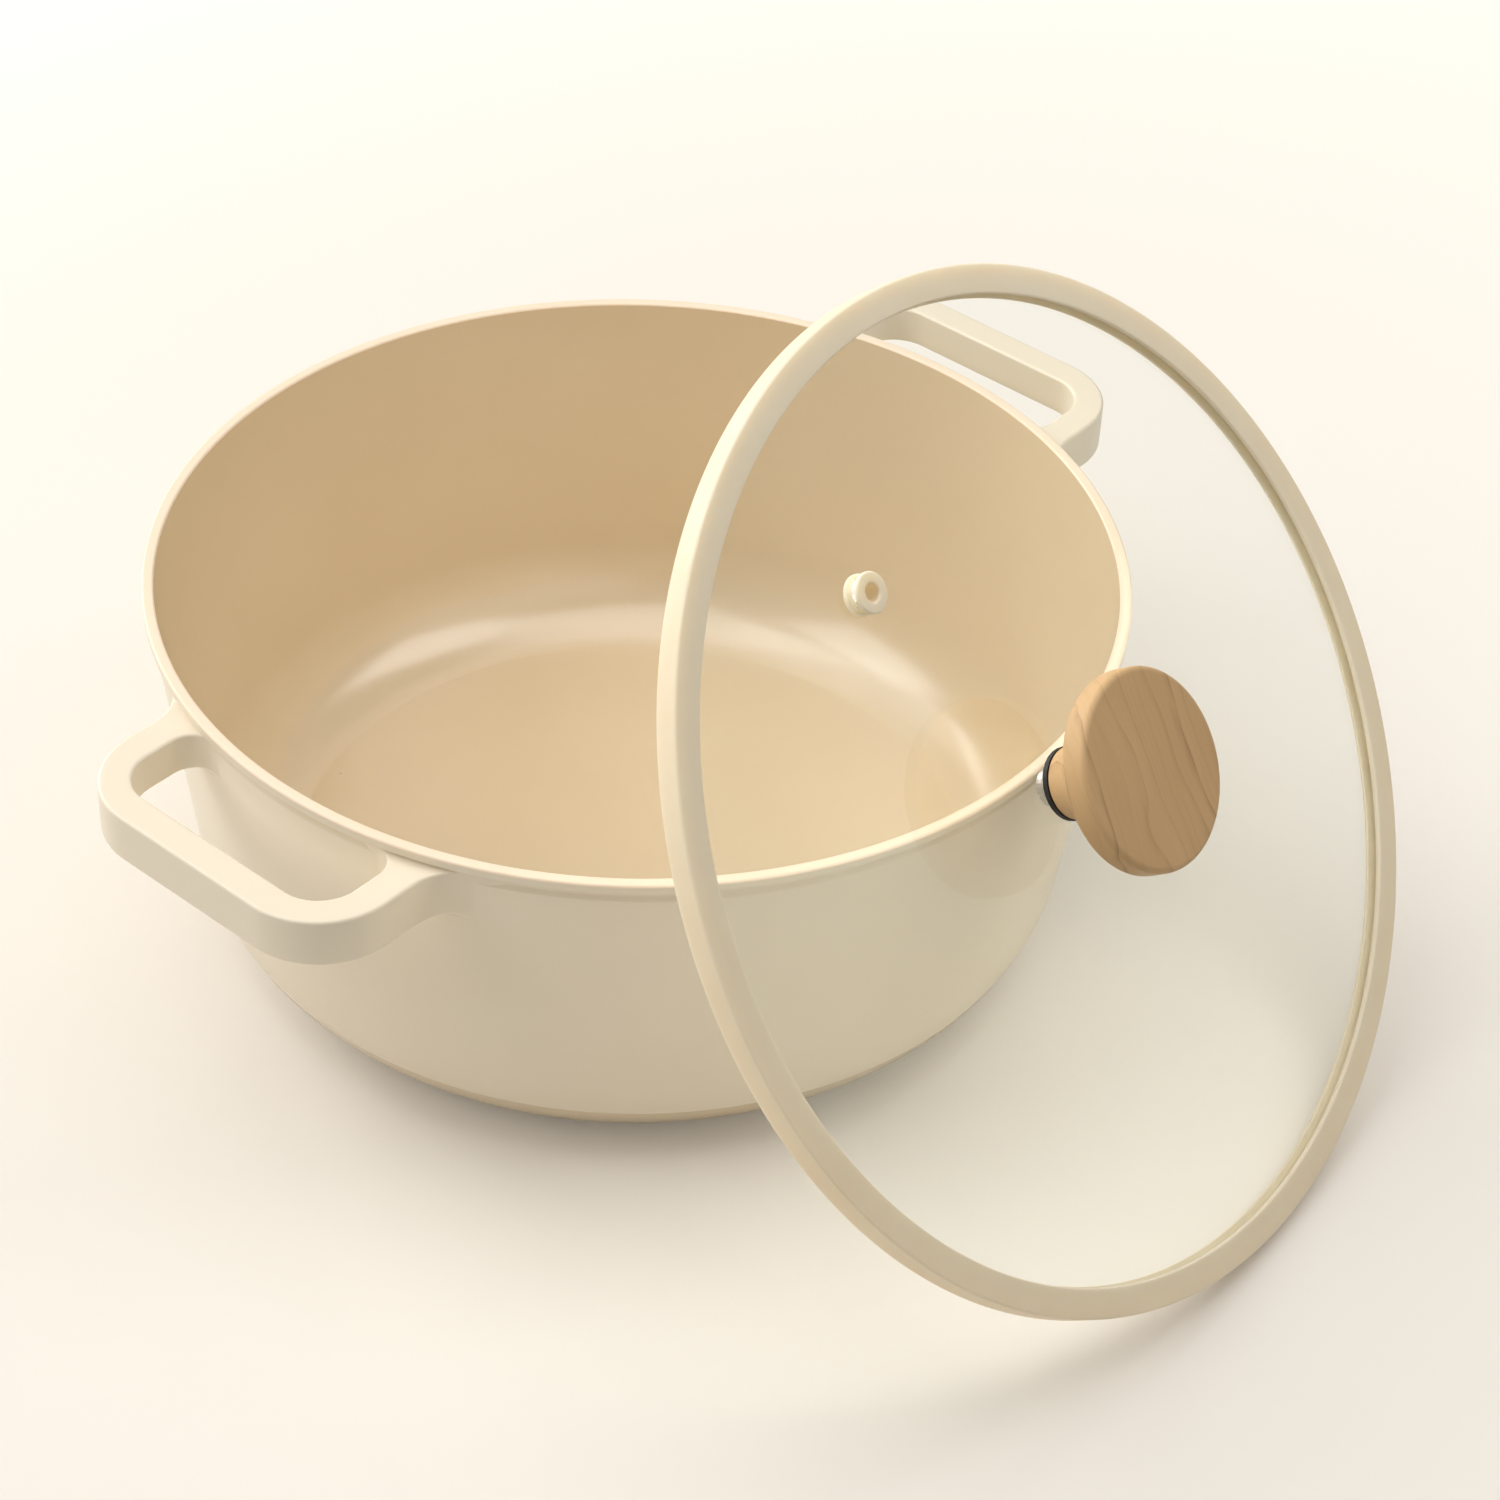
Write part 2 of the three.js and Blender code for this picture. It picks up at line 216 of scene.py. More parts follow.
def turned(name, profile, segments, closed=False, place=None):
    """A solid of revolution: each profile point (radius, height) goes round the
    axis as (radius cos a, radius sin a, height). An open profile starts and
    ends on the axis, and a closed one goes round a hole."""
    angle = np.linspace(0, 2 * math.pi, segments, endpoint=False)
    radius, height = profile[:, :1], profile[:, 1:]
    grid = np.stack([radius * np.cos(angle), radius * np.sin(angle), height + 0 * angle], axis=-1)
    if place is not None:
        grid = place(grid)
    poles = (False, False) if closed else (True, True)
    return mesh_from_grid(name, grid, close_rows=closed, poles=poles)


# %% [markdown]
# ## Finishes that several materials share
#
# A sprayed ceramic coat is never quite even: it has a fine orange-peel, a
# slight mottling of colour, and here and there a speck of dust. Those come as
# one shader node group with named inputs, and each coated material places it
# with its own values. The group puts out a colour, a roughness and a height,
# and nothing that would have to be the same all over.

# %% Node helpers


def new_group(name, inputs, outputs):
    """An empty shader node group with the named sockets."""
    group = bpy.data.node_groups.new(name, "ShaderNodeTree")
    for socket_name, kind, value in inputs:
        socket = group.interface.new_socket(socket_name, in_out="INPUT", socket_type=kind)
        socket.default_value = value
    for socket_name, kind in outputs:
        group.interface.new_socket(socket_name, in_out="OUTPUT", socket_type=kind)
    return group, group.nodes.new("NodeGroupInput"), group.nodes.new("NodeGroupOutput")


def node(tree, kind, settings=None, **inputs):
    """A node with its settings, and its inputs set or linked. An input goes by
    its name, with underscores for the spaces, or by i and its number."""
    made = tree.nodes.new(kind)
    for key, value in (settings or {}).items():
        setattr(made, key, value)
    for key, value in inputs.items():
        numbered = key[0] == "i" and key[1:].isdigit()
        socket = made.inputs[int(key[1:]) if numbered else key.replace("_", " ")]
        if isinstance(value, bpy.types.NodeSocket):
            tree.links.new(value, socket)
        else:
            socket.default_value = value
    return made


def math_node(tree, operation, first, second=0.0):
    """One arithmetic node's result."""
    return node(tree, "ShaderNodeMath", {"operation": operation}, i0=first, i1=second).outputs[0]


def mix_colours(tree, share, first, second):
    """Two colours mixed: the first times one less the share, plus the second
    times the share."""
    return node(tree, "ShaderNodeMix", {"data_type": "RGBA"}, i0=share, i6=first, i7=second).outputs[2]


def ramp(tree, value, *stops):
    """A value read through (position, grey) stops, straight between them."""
    made = node(tree, "ShaderNodeValToRGB", i0=value)
    elements = made.color_ramp.elements
    while len(elements) < len(stops):
        elements.new(0.5)
    for element, (position, grey) in zip(elements, stops):
        element.position = position
        element.color = (grey, grey, grey, 1)
    return made.outputs[0]


def rgb(red, green, blue):
    """An sRGB colour of 0 to 255 as the linear colour that nodes use."""
    share = np.array([red, green, blue]) / 255
    linear = np.where(share <= 0.04045, share / 12.92, ((share + 0.055) / 1.055) ** 2.4)
    return (*linear.tolist(), 1.0)


def new_material(name, **inputs):
    """A material with one Principled BSDF, its plain inputs set by name."""
    material = bpy.data.materials.new(name)
    material.use_nodes = True
    shader = material.node_tree.nodes["Principled BSDF"]
    for key, value in inputs.items():
        shader.inputs[key.replace("_", " ")].default_value = value
    return material, material.node_tree, shader


# %% Sprayed ceramic coat
DUST = rgb(120, 100, 74)


def make_coat_group():
    """Orange-peel, mottling and specks of a sprayed coat. The height is soft
    noise plus a quarter of fine noise, the colour is mixed by slow noise, and a
    speck sits at the middle of about one cell in ninety."""
    group, source, sink = new_group(
        "sprayed_coat",
        [
            ("Colour", "NodeSocketColor", (0.8, 0.8, 0.8, 1)),
            ("Deep Colour", "NodeSocketColor", (0.6, 0.6, 0.6, 1)),
            ("Roughness", "NodeSocketFloat", 0.35),
            ("Peel Size", "NodeSocketFloat", 900.0),
        ],
        [
            ("Colour", "NodeSocketColor"),
            ("Roughness", "NodeSocketFloat"),
            ("Height", "NodeSocketFloat"),
        ],
    )
    place = node(group, "ShaderNodeTexCoord").outputs["Object"]
    peel = node(group, "ShaderNodeTexNoise", Vector=place, Scale=source.outputs["Peel Size"], Detail=2.0)
    cloud = node(group, "ShaderNodeTexNoise", Vector=place, Scale=38.0, Detail=4.0)
    grain = node(group, "ShaderNodeTexNoise", Vector=place, Scale=2600.0, Detail=1.0)
    cells = node(group, "ShaderNodeTexVoronoi", Vector=place, Scale=150.0)
    keep = node(group, "ShaderNodeTexWhiteNoise", Vector=cells.outputs["Position"]).outputs["Value"]
    near = ramp(group, cells.outputs["Distance"], (0.03, 1.0), (0.06, 0.0))
    rare = ramp(group, keep, (0.988, 0.0), (0.99, 1.0))
    speck = math_node(group, "MULTIPLY", near, rare)

    patch = ramp(group, cloud.outputs["Fac"], (0.3, 0.0), (0.7, 0.35))
    mottled = mix_colours(group, patch, source.outputs["Colour"], source.outputs["Deep Colour"])
    specked = mix_colours(group, math_node(group, "MULTIPLY", speck, 0.45), mottled, DUST)
    wander = math_node(group, "MULTIPLY", grain.outputs["Fac"], 0.06)
    roughness = math_node(group, "ADD", source.outputs["Roughness"], wander)
    fine = math_node(group, "MULTIPLY", grain.outputs["Fac"], 0.25)
    height = math_node(group, "ADD", peel.outputs["Fac"], fine)
    group.links.new(specked, sink.inputs["Colour"])
    group.links.new(roughness, sink.inputs["Roughness"])
    group.links.new(height, sink.inputs["Height"])
    return group


coat_group = make_coat_group()


def coated(name, colour, deep, roughness, peel_depth, gloss=0.25, gloss_ior=1.5):
    """A material with the sprayed coat placed in it, under a clear gloss."""
    material, tree, shader = new_material(
        name, Coat_Weight=gloss, Coat_Roughness=0.2, Coat_IOR=gloss_ior,
    )
    spray = node(
        tree, "ShaderNodeGroup", {"node_tree": coat_group},
        Colour=colour, Deep_Colour=deep, Roughness=roughness,
    )
    tree.links.new(spray.outputs["Colour"], shader.inputs["Base Color"])
    tree.links.new(spray.outputs["Roughness"], shader.inputs["Roughness"])
    bump = node(tree, "ShaderNodeBump", Height=spray.outputs["Height"], Strength=0.5, Distance=peel_depth)
    tree.links.new(bump.outputs["Normal"], shader.inputs["Normal"])
    return material


ivory_coat = coated("ivory_coat", rgb(243, 231, 208), rgb(240, 227, 202), 0.34, 0.02 * MM)
tan_coat = coated("tan_coat", rgb(226, 206, 171), rgb(222, 200, 164), 0.3, 0.012 * MM, 1.0, 1.75)
rim_coat = coated("rim_coat", rgb(250, 230, 203), rgb(247, 225, 196), 0.38, 0.01 * MM)
print("coats:", [m.name for m in (ivory_coat, tan_coat, rim_coat)])

# %% [markdown]
# ## The bowl
#
# The bowl is a turned shape, so one profile gives all of it: the flat foot
# with its recess for the steel plate, a large outside radius, the wall that
# leans out a little, the cove and the bead under the rim, the flat rim, and
# the inside down to the floor. Turning the profile in one go keeps the wall's
# two faces exactly a wall apart, which two separate bowls wouldn't.

# %% Bowl sizes
pan_low, pan_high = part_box("pan_body")
RIM_HEIGHT = pan_high.z
RIM_RADIUS = pan_high.y
RIM_WIDTH = 3.0 * MM
RIM_INSIDE = RIM_RADIUS - RIM_WIDTH
WALL_TOP_INSET = 1.0 * MM  # the wall, carried up to the rim's height, ends this far inside it
WALL_FOOT_INSET = 13.0 * MM
WALL_TOP_RADIUS = RIM_RADIUS - WALL_TOP_INSET
WALL_FOOT_RADIUS = RIM_RADIUS - WALL_FOOT_INSET
WALL_THICKNESS = 2.5 * MM
WALL_SLOPE = (WALL_TOP_RADIUS - WALL_FOOT_RADIUS) / RIM_HEIGHT
WALL_LEAN = math.atan(WALL_SLOPE)
FLOOR_HEIGHT = 5.0 * MM
OUTER_CORNER = 29.0 * MM
INNER_CORNER = 26.0 * MM
FLOOR_CREASE = math.radians(10)
plate_low, plate_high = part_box("induction_plate")
PLATE_RADIUS = plate_high.x
PLATE_THICKNESS = plate_high.z - plate_low.z
print("rim radius and height, mm:", round(RIM_RADIUS / MM, 1), round(RIM_HEIGHT / MM, 1))
print("wall's lean, degrees:", round(math.degrees(WALL_LEAN), 2))

# %% The inside corner
CORNER_POINTS = 22


def wall_radius(height):
    """The outer face of the wall: its foot radius plus slope times height."""
    return WALL_FOOT_RADIUS + WALL_SLOPE * height


def arc(centre, radius, start, end, steps):
    """Points on a circle round the centre, from one angle to another."""
    angle = np.linspace(start, end, steps)
    return np.stack([centre[0] + radius * np.cos(angle), centre[1] + radius * np.sin(angle)], axis=-1)


def inside_corner():
    """The arc from the wall down to the floor. It would touch a line that lies
    radius (1 - cos crease) below the floor, so it meets the floor at the
    crease angle. Its centre is radius tan((90 degrees - lean) / 2) inwards
    from where the wall's inner face meets that line."""
    base = FLOOR_HEIGHT - INNER_CORNER * (1 - math.cos(FLOOR_CREASE))
    tangent = INNER_CORNER * math.tan((math.pi / 2 - WALL_LEAN) / 2)
    centre = (wall_radius(base) - WALL_THICKNESS - tangent, base + INNER_CORNER)
    return arc(centre, INNER_CORNER, -WALL_LEAN, FLOOR_CREASE - math.pi / 2, CORNER_POINTS)


corner_line = inside_corner()
print("floor's flat reaches, mm:", round(corner_line[-1][0] / MM, 1))

# %% The bowl's section
# The cove's start and middle and the bead's shoulder are measured down from the
# rim, the cove's depth and the bead's draft are measured inwards.
COVE_START = 6.2 * MM
COVE_MIDDLE = 4.0 * MM
BEAD_SHOULDER = 2.4 * MM
COVE_DEPTH = 0.75 * MM
BEAD_DRAFT = 0.1 * MM
PROFILE_SPACING = 2.2 * MM
CREASE_HALF = 0.12 * MM
FLOOR_EDGE = 0.5 * MM
FLOOR_RINGS = 40


def outer_section():
    """The section from the axis under the base, round the recess for the plate,
    up the wall and over the cove and the bead to the middle of the rim."""
    recess = PLATE_THICKNESS + GAP
    ridge = RIM_HEIGHT - COVE_START
    corners = [
        (0, recess, 0),
        (PLATE_RADIUS + GAP, recess, 0.2 * MM),
        (PLATE_RADIUS + GAP, 0, 0.3 * MM),
        (WALL_FOOT_RADIUS, 0, OUTER_CORNER),
        (wall_radius(ridge), ridge, 1.2 * MM),
        (wall_radius(ridge) - COVE_DEPTH, RIM_HEIGHT - COVE_MIDDLE, 1.6 * MM),
        (RIM_RADIUS - BEAD_DRAFT, RIM_HEIGHT - BEAD_SHOULDER, 0.5 * MM),
        (RIM_RADIUS, RIM_HEIGHT, 0.7 * MM),
        (RIM_RADIUS - RIM_WIDTH / 2, RIM_HEIGHT, 0),
    ]
    return rounded_outline(corners, False, PROFILE_SPACING, arc_steps=16)


def inner_section():
    """The section from the middle of the rim down the wall, round the inside
    corner and over the floor to the axis. Two close points, one on each side of
    the crease, keep it crisp when the faces are shaded smooth."""
    corners = [
        (RIM_RADIUS - RIM_WIDTH / 2, RIM_HEIGHT, 0),
        (RIM_INSIDE, RIM_HEIGHT, 0.6 * MM),
        (*corner_line[0], 0),
    ]
    wall_line = rounded_outline(corners, False, PROFILE_SPACING, arc_steps=16)
    edge = corner_line[-1]
    upwards = (corner_line[-2] - edge) / np.linalg.norm(corner_line[-2] - edge)
    crease = np.array([edge + upwards * CREASE_HALF, edge - np.array([CREASE_HALF, 0])])
    floor_radius = np.linspace(edge[0] - FLOOR_EDGE, 0, FLOOR_RINGS)
    floor_line = np.stack([floor_radius, np.full(FLOOR_RINGS, FLOOR_HEIGHT)], axis=-1)
    return np.concatenate([wall_line[1:-1], corner_line[:-1], crease, floor_line])


bowl_section = np.concatenate([outer_section(), inner_section()])
print("points in the section:", len(bowl_section))

# %% Bowl
ROUND_SEGMENTS = 300
RIM_FINISH_DEPTH = 0.62 * MM
WALL_MIDDLE = 1.2 * MM
bowl = turned("pan_bowl", bowl_section, ROUND_SEGMENTS)
for finish in (ivory_coat, tan_coat, rim_coat):
    bowl.data.materials.append(finish)

# The rim's finish covers its flat and the rounding beside it. The tan coat is
# on the faces above the floor that lie inside the middle of the wall.
face_middle = np.zeros(len(bowl.data.polygons) * 3, np.float32)
bowl.data.polygons.foreach_get("center", face_middle)
face_middle = face_middle.reshape(-1, 3)
face_radius = np.hypot(face_middle[:, 0], face_middle[:, 1])
face_height = face_middle[:, 2]
is_inside = (face_height > FLOOR_HEIGHT - GAP) & (face_radius < wall_radius(face_height) - WALL_MIDDLE)
is_rim = face_height > RIM_HEIGHT - RIM_FINISH_DEPTH
finish_index = np.where(is_rim, 2, np.where(is_inside, 1, 0)).astype(np.int32)
bowl.data.polygons.foreach_set("material_index", finish_index)
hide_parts("pan_body")
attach(bowl, "pan")
print("bowl faces outside, inside, rim:", np.bincount(finish_index).tolist())

# %% [markdown]
# ## The handles
#
# Each handle is a flat-topped loop, cast with the bowl. Seen from above it is
# a band between two outlines: the outside of the grip and the edge of the
# finger gap. Both flare out where they meet the wall. The loop is made by
# walking along the two outlines together and laying a rounded rectangle
# between each pair of points. Near the wall the section grows upwards and
# downwards on a small fillet, and it follows the wall's slope, so that the
# loop runs into the bowl without a step.

# %% Handle sizes
HANDLE_TOP = RIM_HEIGHT - 3.4 * MM
HANDLE_HEIGHT = 13.0 * MM
HANDLE_REACH = pan_high.x
BAR_WIDTH = 8.6 * MM
HALF_LENGTH = 43.0 * MM
ARM_WIDTH = 8.6 * MM
GRIP_CORNER = 21.0 * MM
GAP_CORNER = 11.0 * MM
OUTER_FLARE = 14.0 * MM
INNER_FLARE = 7.0 * MM
EDGE_ROUND = 0.9 * MM
UNDERSIDE_RISE = 2.6 * MM  # the underside slopes up towards the finger gap
UNDERSIDE_RUN = 7.0 * MM
TOP_FILLET = 1.6 * MM
UNDER_FILLET = 3.0 * MM
FOLLOW_REACH = 9.0 * MM  # the loop follows the wall's slope up to this far out
ROOT_DEPTH = 1.0 * MM  # how far the loop's ends are sunk into the wall
OUTER_ROOT = 9.0 * MM  # length along the wall over which they sink
INNER_ROOT = 3.0 * MM
TANGENT_SINK = 0.06 * MM  # hides the line where the flare leaves the wall

handle_middle = HANDLE_TOP - HANDLE_HEIGHT / 2
wall_here = wall_radius(handle_middle)
print("handle's middle height, mm:", round(handle_middle / MM, 2))
print("wall's radius there, mm:", round(wall_here / MM, 2))

# %% The loop's two outlines
ROOT_POINTS = 8
FLARE_POINTS = 14
ARM_POINTS = 10
TURN_POINTS = 20
BAR_POINTS = 22


def flare_centre(side_line, radius, outwards):
    """Centre of the fillet between a line parallel to the handle's axis and
    the round wall: it lies radius beyond the line and radius outside the wall."""
    across = side_line + radius * outwards
    return np.array([math.sqrt((wall_here - TANGENT_SINK + radius) ** 2 - across**2), across])


def half_outline(side_line, reach, corner, flare, outwards):
    """Half of one outline, from inside the wall to the middle of the grip: a
    run that comes slowly out of the wall, the flare, the arm, the corner and
    half the bar. The run's depth falls with the square of its length."""
    centre = flare_centre(side_line, flare, outwards)
    toward_axis = math.atan2(centre[1], centre[0]) + math.pi
    ends_at = 3 * math.pi / 2 if outwards > 0 else math.pi / 2
    flare_line = arc(centre, flare, toward_axis, ends_at, FLARE_POINTS)
    run = (OUTER_ROOT if outwards > 0 else -INNER_ROOT) / wall_here
    share = np.linspace(1, 0, ROOT_POINTS, endpoint=False)
    angle = math.atan2(centre[1], centre[0]) + run * share
    depth = wall_here - TANGENT_SINK - ROOT_DEPTH * share**2
    root = np.stack([depth * np.cos(angle), depth * np.sin(angle)], axis=-1)
    turn = arc((reach - corner, side_line - corner), corner, math.pi / 2, 0, TURN_POINTS)
    share = np.linspace(0, 1, ARM_POINTS + 2)[1:-1, None]
    arm = flare_line[-1] + (turn[0] - flare_line[-1]) * share
    share = np.linspace(0, 1, BAR_POINTS + 1)[1:, None]
    bar = turn[-1] + (np.array([reach, 0.0]) - turn[-1]) * share
    return np.concatenate([root, flare_line, arm, turn, bar])


def whole_outline(half):
    """The half, and the same points mirrored across the handle's axis."""
    return np.concatenate([half, half[-2::-1] * np.array([1.0, -1.0])])


outer_outline = whole_outline(half_outline(HALF_LENGTH, HANDLE_REACH, GRIP_CORNER, OUTER_FLARE, 1))
inner_outline = whole_outline(half_outline(
    HALF_LENGTH - ARM_WIDTH, HANDLE_REACH - BAR_WIDTH, GAP_CORNER, INNER_FLARE, -1))
print("points along the loop:", len(outer_outline))

# %% The loop's section
EDGE_COLUMNS = 7
EDGE_ARC_STEPS = 6


def handle_section():
    """Half-width and half-height shares of a rounded rectangle, and the arc
    part that is added to them, as arrays once round the section. Each side is a
    quarter turn on from the last: across is cos t - sin t times the place along
    the side, and up is sin t + cos t times it."""
    flat = np.linspace(-1, 1, EDGE_COLUMNS)
    quarter = np.linspace(0, math.pi / 2, EDGE_ARC_STEPS + 1)[1:-1]
    across, up, arc_across, arc_up = [], [], [], []
    for side in range(4):
        turn = side * math.pi / 2
        across.append(np.cos(turn) - np.sin(turn) * flat)
        up.append(np.sin(turn) + np.cos(turn) * flat)
        arc_across.append(np.cos(turn) + 0 * flat)
        arc_up.append(np.sin(turn) + 0 * flat)
        across.append(np.full(len(quarter), np.cos(turn) - np.sin(turn)))
        up.append(np.full(len(quarter), np.sin(turn) + np.cos(turn)))
        arc_across.append(np.cos(turn + quarter))
        arc_up.append(np.sin(turn + quarter))
    return [np.round(np.concatenate(part), 9) for part in (across, up, arc_across, arc_up)]


print("points round the section:", len(handle_section()[0]))

# %% The loop


def handle_grid():
    """Points of a handle that reaches along +X, in rows along the loop and
    columns round the section. A point lies between the two outlines by its
    share across, and at its share of the half height; both halves are trimmed
    by the edge radius, which the arc part gives back. Near the wall, the section
    grows by fillet - sqrt(fillet squared - what is missing squared)."""
    across, up, arc_across, arc_up = handle_section()
    middle = (outer_outline + inner_outline) / 2
    width = np.linalg.norm(outer_outline - inner_outline, axis=1)
    direction = (outer_outline - inner_outline) / width[:, None]
    offset = (width[:, None] / 2 - EDGE_ROUND) * across + EDGE_ROUND * arc_across
    plan = middle[:, None] + direction[:, None] * offset[..., None]
    lift = np.broadcast_to((HANDLE_HEIGHT / 2 - EDGE_ROUND) * up + EDGE_ROUND * arc_up, offset.shape)

    reach = np.linalg.norm(plan, axis=-1)
    deep_enough = np.maximum(reach, wall_here - ROOT_DEPTH)
    plan = plan * (deep_enough / reach)[..., None]
    reach = deep_enough
    clear = np.clip(reach - wall_here, 0, None)
    fillet = np.where(lift > 0, TOP_FILLET, UNDER_FILLET)
    short = np.clip(fillet - clear, 0, None)
    growth = fillet - np.sqrt(np.clip(fillet**2 - short**2, 0, None))
    height = handle_middle + lift + growth * lift / (HANDLE_HEIGHT / 2)
    rise = UNDERSIDE_RISE * np.clip(1 - (width[:, None] / 2 + offset) / UNDERSIDE_RUN, 0, 1)
    height = HANDLE_TOP - (HANDLE_TOP - height) * (1 - rise / HANDLE_HEIGHT)
    follow = np.clip(1 - clear / FOLLOW_REACH, 0, 1) ** 2
    scale = 1 + (wall_radius(height) - wall_here) * follow / reach
    return np.concatenate([plan * scale[..., None], height[..., None]], axis=-1)


# %% Handles


def close_ends(grid):
    """The grid with one more row at each end, shrunk to one point, so that the
    loop's sunk ends are closed. The point is the row's middle, moved out along
    the radius until it is as deep in the wall as the row is."""
    ends = np.stack([grid[0].mean(axis=0), grid[-1].mean(axis=0)])
    ends[:, :2] *= (wall_here - ROOT_DEPTH) / np.linalg.norm(ends[:, :2], axis=1)[:, None]
    first, last = (np.broadcast_to(end, grid[0].shape)[None] for end in ends)
    return np.concatenate([first, grid, last])


loop = close_ends(handle_grid())
half_turn = np.array([-1.0, -1.0, 1.0])
for name, points in (("handle_right", loop), ("handle_left", loop * half_turn)):
    handle = mesh_from_grid(name, points, poles=(True, True))
    handle.data.materials.append(ivory_coat)
    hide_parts("pan_body")
    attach(handle, "pan")

# %% [markdown]
# ## The lid's band
#
# The band is a ring of silicone with a groove for the glass, so it is a closed
# profile turned about the lid's axis. Silicone is soft and matt, and its
# edges are rounded by the mould.

# %% Silicone


def make_silicone(name, colour, deep):
    """Matt silicone that light sinks into a little: a fine mould grain, a soft
    sheen and faint handling marks."""
    material, tree, shader = new_material(
        name, Sheen_Weight=0.1,
        Subsurface_Weight=0.5, Subsurface_Scale=5.0 * MM, Subsurface_Radius=(1.0, 0.8, 0.6),
    )
    place = node(tree, "ShaderNodeTexCoord").outputs["Object"]
    cloud = node(tree, "ShaderNodeTexNoise", Vector=place, Scale=60.0, Detail=5.0)
    grain = node(tree, "ShaderNodeTexNoise", Vector=place, Scale=3200.0, Detail=2.0)
    patch = ramp(tree, cloud.outputs["Fac"], (0.35, 0.0), (0.7, 0.5))
    tree.links.new(mix_colours(tree, patch, colour, deep), shader.inputs["Base Color"])
    rough = ramp(tree, cloud.outputs["Fac"], (0.2, 0.46), (0.8, 0.6))
    tree.links.new(rough, shader.inputs["Roughness"])
    bump = node(tree, "ShaderNodeBump", Height=grain.outputs["Fac"], Strength=0.35, Distance=0.02 * MM)
    tree.links.new(bump.outputs["Normal"], shader.inputs["Normal"])
    return material


cream_silicone = make_silicone("cream_silicone", rgb(247, 228, 199), rgb(240, 219, 187))
print("made", cream_silicone.name)

# %% Band
BAND_RADIUS = 123.5 * MM
TOP_LIP_RADIUS = 116.3 * MM
UNDER_LIP_RADIUS = 115.8 * MM
GROOVE_RADIUS = 120.3 * MM
glass_top = -pane_depth + GLASS_THICKNESS / 2
glass_under = -pane_depth - GLASS_THICKNESS / 2

band_line = rounded_outline([
    (TOP_LIP_RADIUS, 0, 0.45 * MM),
    (TOP_LIP_RADIUS, glass_top + GAP, 0.15 * MM),
    (GROOVE_RADIUS, glass_top + GAP, 0.2 * MM),
    (GROOVE_RADIUS, glass_under - GAP, 0.2 * MM),
    (UNDER_LIP_RADIUS, glass_under - GAP, 0.15 * MM),
    (UNDER_LIP_RADIUS + 0.4 * MM, -LID_THICKNESS, 0.5 * MM),
    (BAND_RADIUS, -LID_THICKNESS, 0.6 * MM),
    (BAND_RADIUS, 0, 0.6 * MM),
], True, 1.2 * MM)
band = turned("lid_band_moulded", band_line, ROUND_SEGMENTS, closed=True, place=to_lid)
band.data.materials.append(cream_silicone)
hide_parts("lid_band")
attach(band, "lid")

# %% [markdown]
# ## The vent
#
# A rubber grommet is pushed through a hole in the glass: two flanges, a neck
# and a hole for the steam. It is turned in the same way as the band and then
# shifted to its hole, whose place is read from the CAD grommet's box.

# %% Vent grommet
FLANGE_RADIUS = 4.9 * MM
FLANGE_THICKNESS = 1.2 * MM
NECK_RADIUS = 3.5 * MM
VENT_HOLE_RADIUS = 2.2 * MM

vent_low, vent_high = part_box("vent_grommet")
vent_offset = (vent_low + vent_high) / 2 - lid_centre
vent_x = vent_offset.dot(lid_level)
vent_y = vent_offset.dot(lid_slope)
print("vent at, mm:", round(vent_x / MM, 2), round(vent_y / MM, 2))


def to_vent(points):
    """Points drawn round the vent's axis, moved to it and on to the lid."""
    return to_lid(points + np.array([vent_x, vent_y, 0]))


flange_top = glass_top + GAP + FLANGE_THICKNESS
flange_under = glass_under - GAP - FLANGE_THICKNESS
vent_line = rounded_outline([
    (VENT_HOLE_RADIUS, flange_top, 0.5 * MM),
    (VENT_HOLE_RADIUS, flange_under, 0.5 * MM),
    (FLANGE_RADIUS, flange_under, 0.5 * MM),
    (FLANGE_RADIUS, glass_under - GAP, 0.3 * MM),
    (NECK_RADIUS, glass_under - GAP, 0.2 * MM),
    (NECK_RADIUS, glass_top + GAP, 0.2 * MM),
    (FLANGE_RADIUS, glass_top + GAP, 0.3 * MM),
    (FLANGE_RADIUS, flange_top, 0.5 * MM),
], True, 0.4 * MM)
vent = turned("vent_grommet_moulded", vent_line, 72, closed=True, place=to_vent)
vent.data.materials.append(cream_silicone)
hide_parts("vent_grommet")
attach(vent, "lid")

# %% [markdown]
# ## The knob
#
# A wood turner would cut this knob from a square blank: a neck that flares up
# into a disc. The profile below has a few corners with generous radii. It
# keeps the bore in the foot, because the brass insert sits in it.

# %% Knob
KNOB_RADIUS = 24.0 * MM
KNOB_TOP = 25.2 * MM
NECK_FOOT_RADIUS = 8.6 * MM
BORE_RADIUS = 3.9 * MM
BORE_DEPTH = 13.2 * MM
GASKET_THICKNESS = 1.3 * MM
DISC_THICKNESS = 6.6 * MM

knob_foot = glass_top + GAP + GASKET_THICKNESS + GAP
disc_under = KNOB_TOP - DISC_THICKNESS
knob_line = rounded_outline([
    (0, knob_foot + BORE_DEPTH, 0),
    (BORE_RADIUS, knob_foot + BORE_DEPTH, 0.3 * MM),
    (BORE_RADIUS, knob_foot, 0.3 * MM),
    (NECK_FOOT_RADIUS, knob_foot, 0.3 * MM),
    (NECK_FOOT_RADIUS + 1.4 * MM, knob_foot + 5.0 * MM, 12.0 * MM),
    (NECK_FOOT_RADIUS + 5.4 * MM, knob_foot + 13.5 * MM, 14.0 * MM),
    (KNOB_RADIUS, disc_under, 1.6 * MM),
    (KNOB_RADIUS, KNOB_TOP, 1.5 * MM),
    (0, KNOB_TOP, 0),
], False, 0.8 * MM, arc_steps=10)
knob = turned("knob_turned", knob_line, 160, place=to_lid)

